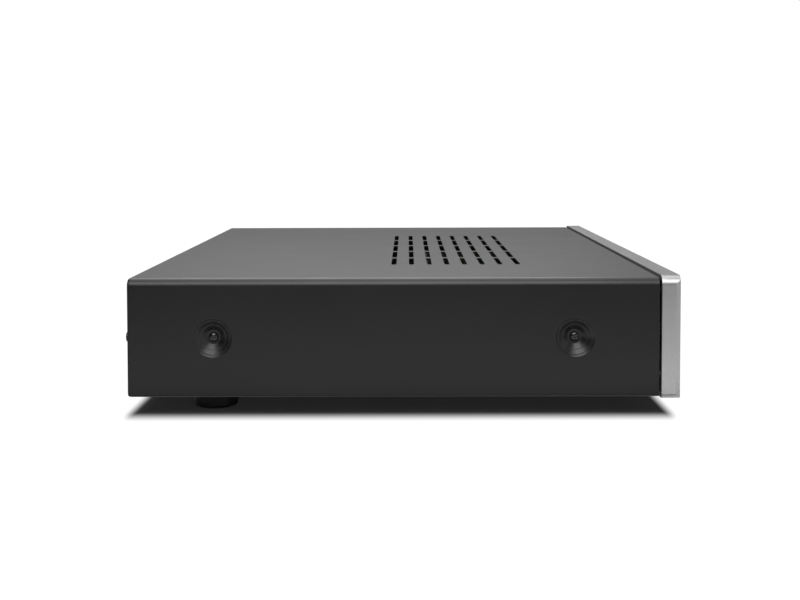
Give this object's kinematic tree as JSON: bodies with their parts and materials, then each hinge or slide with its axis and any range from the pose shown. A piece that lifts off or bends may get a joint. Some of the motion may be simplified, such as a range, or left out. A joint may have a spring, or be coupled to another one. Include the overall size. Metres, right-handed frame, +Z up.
{
  "type": "stereo amplifier",
  "caption": "Full-width stereo amplifier with a dark folded steel cover, side screws in pressed dishes, a slotted top, a deep silver front panel, turning knobs, buttons and binding posts.",
  "frame": {"origin": "on the desk under the middle of the whole outline, knobs and binding posts included", "axes": "+X to the right as seen from the front, +Y from front panel to rear panel, +Z up"},
  "size_m": [0.43, 0.382, 0.0873],
  "materials": {
    "cover_paint": "satin dark grey powder coat",
    "panel_silver": "satin silver",
    "zinc_steel": "zinc plated",
    "black_screw": "black zinc",
    "foot_plastic": "matte",
    "black_plastic": "matte",
    "gloss_black": "gloss",
    "brass_plain": "turned",
    "board_green": "solder mask",
    "sink_aluminium": "black anodised",
    "can_sleeve": "shrink sleeve",
    "relay_plastic": "gloss",
    "winding_tape": "polyester tape over copper",
    "pad_rubber": "matte",
    "nickel": "nickel plated",
    "gold": "gold plated",
    "white_plastic": "gloss",
    "red_plastic": "gloss",
    "knob_silver": "satin silver",
    "window_dark": "dark red gloss",
    "clear_guide": "clear moulded",
    "cable_grey": "flexible insulation",
    "wire_insulation": "flexible insulation"
  },
  "bodies": {
    "chassis": {"top_cover": "cover_paint", "rear_panel": "cover_paint", "base_pan": "zinc_steel", "front_bracket": "zinc_steel", "front_panel": "panel_silver", "feet": "foot_plastic", "cover_screws": "black_screw", "chassis_screws": "black_screw", "board_screws": "zinc_steel", "standoffs": "brass_plain", "main_board": "board_green", "heatsink": "sink_aluminium", "power_transistors": "black_plastic", "reservoir_capacitors": "can_sleeve", "small_capacitors": "can_sleeve", "bridge_rectifier": "black_plastic", "relays": "relay_plastic", "toroidal_transformer": "winding_tape", "transformer_pads": "pad_rubber", "transformer_washer": "zinc_steel", "transformer_bolt": "zinc_steel", "input_board": "board_green", "phono_blocks": "black_plastic", "phono_shells": "nickel", "phono_rings_white": "white_plastic", "phono_rings_red": "red_plastic", "front_board": "board_green", "potentiometers": "zinc_steel", "button_switches": "black_plastic", "headphone_jack": "black_plastic", "ir_window": "window_dark", "light_guides": "clear_guide", "mains_inlet": "black_plastic", "inlet_pins": "nickel", "rocker_frame": "black_plastic", "post_bases": "black_plastic", "post_studs": "gold", "ribbon_cable": "cable_grey", "mains_wires": "wire_insulation", "transformer_leads": "wire_insulation"},
    "volume": {"volume_knob": "knob_silver", "volume_shaft": "zinc_steel"},
    "bass": {"bass_knob": "knob_silver", "bass_shaft": "zinc_steel"},
    "treble": {"treble_knob": "knob_silver", "treble_shaft": "zinc_steel"},
    "power": {"power_button": "knob_silver"},
    "mains_rocker": {"rocker": "gloss_black"},
    "source_1": {"source_button_1": "knob_silver"},
    "collar_1": {"post_collar_1": "gold"},
    "cap_1": {"post_cap_1": "red_plastic"},
    "source_2": {"source_button_2": "knob_silver"},
    "collar_2": {"post_collar_2": "gold"},
    "cap_2": {"post_cap_2": "gloss_black"},
    "source_3": {"source_button_3": "knob_silver"},
    "collar_3": {"post_collar_3": "gold"},
    "cap_3": {"post_cap_3": "red_plastic"},
    "source_4": {"source_button_4": "knob_silver"},
    "collar_4": {"post_collar_4": "gold"},
    "cap_4": {"post_cap_4": "gloss_black"}
  },
  "joints": [
    {"name": "volume_turn", "type": "hinge", "parent": "chassis", "child": "volume", "pos_m": [0.165, -0.165, 0.04935], "axis": [0, 1, 0], "range_deg": [-150, 150]},
    {"name": "bass_turn", "type": "hinge", "parent": "chassis", "child": "bass", "pos_m": [0.058, -0.165, 0.04935], "axis": [0, 1, 0], "range_deg": [-150, 150]},
    {"name": "treble_turn", "type": "hinge", "parent": "chassis", "child": "treble", "pos_m": [0.1, -0.165, 0.04935], "axis": [0, 1, 0], "range_deg": [-150, 150]},
    {"name": "power_press", "type": "slide", "parent": "chassis", "child": "power", "axis": [0, 1, 0], "range_m": [0, 0.0015], "stiffness_N_per_m": 800, "springref_m": -0.001},
    {"name": "source_1_press", "type": "slide", "parent": "chassis", "child": "source_1", "axis": [0, 1, 0], "range_m": [0, 0.0008], "stiffness_N_per_m": 1000, "springref_m": -0.001},
    {"name": "source_2_press", "type": "slide", "parent": "chassis", "child": "source_2", "axis": [0, 1, 0], "range_m": [0, 0.0008], "stiffness_N_per_m": 1000, "springref_m": -0.001},
    {"name": "source_3_press", "type": "slide", "parent": "chassis", "child": "source_3", "axis": [0, 1, 0], "range_m": [0, 0.0008], "stiffness_N_per_m": 1000, "springref_m": -0.001},
    {"name": "source_4_press", "type": "slide", "parent": "chassis", "child": "source_4", "axis": [0, 1, 0], "range_m": [0, 0.0008], "stiffness_N_per_m": 1000, "springref_m": -0.001},
    {"name": "mains_rocker_tilt", "type": "hinge", "parent": "chassis", "child": "mains_rocker", "pos_m": [-0.14, 0.1643, 0.04935], "axis": [-1, 0, 0], "range_deg": [0, 18]},
    {"name": "collar_1_slide", "type": "slide", "parent": "chassis", "child": "collar_1", "axis": [0, 1, 0], "range_m": [0, 0.005]},
    {"name": "cap_1_unscrew", "type": "hinge", "parent": "collar_1", "child": "cap_1", "pos_m": [-0.095, 0.18, 0.04935], "axis": [0, 1, 0], "range_deg": [0, 1800]},
    {"name": "collar_2_slide", "type": "slide", "parent": "chassis", "child": "collar_2", "axis": [0, 1, 0], "range_m": [0, 0.005]},
    {"name": "cap_2_unscrew", "type": "hinge", "parent": "collar_2", "child": "cap_2", "pos_m": [-0.076, 0.18, 0.04935], "axis": [0, 1, 0], "range_deg": [0, 1800]},
    {"name": "collar_3_slide", "type": "slide", "parent": "chassis", "child": "collar_3", "axis": [0, 1, 0], "range_m": [0, 0.005]},
    {"name": "cap_3_unscrew", "type": "hinge", "parent": "collar_3", "child": "cap_3", "pos_m": [-0.045, 0.18, 0.04935], "axis": [0, 1, 0], "range_deg": [0, 1800]},
    {"name": "collar_4_slide", "type": "slide", "parent": "chassis", "child": "collar_4", "axis": [0, 1, 0], "range_m": [0, 0.005]},
    {"name": "cap_4_unscrew", "type": "hinge", "parent": "collar_4", "child": "cap_4", "pos_m": [-0.026, 0.18, 0.04935], "axis": [0, 1, 0], "range_deg": [0, 1800]}
  ],
  "couplings": [
    {"joint": "cap_1_unscrew", "follows": "collar_1_slide", "rad_per_m": 6283},
    {"joint": "cap_2_unscrew", "follows": "collar_2_slide", "rad_per_m": 6283},
    {"joint": "cap_3_unscrew", "follows": "collar_3_slide", "rad_per_m": 6283},
    {"joint": "cap_4_unscrew", "follows": "collar_4_slide", "rad_per_m": 6283}
  ]
}
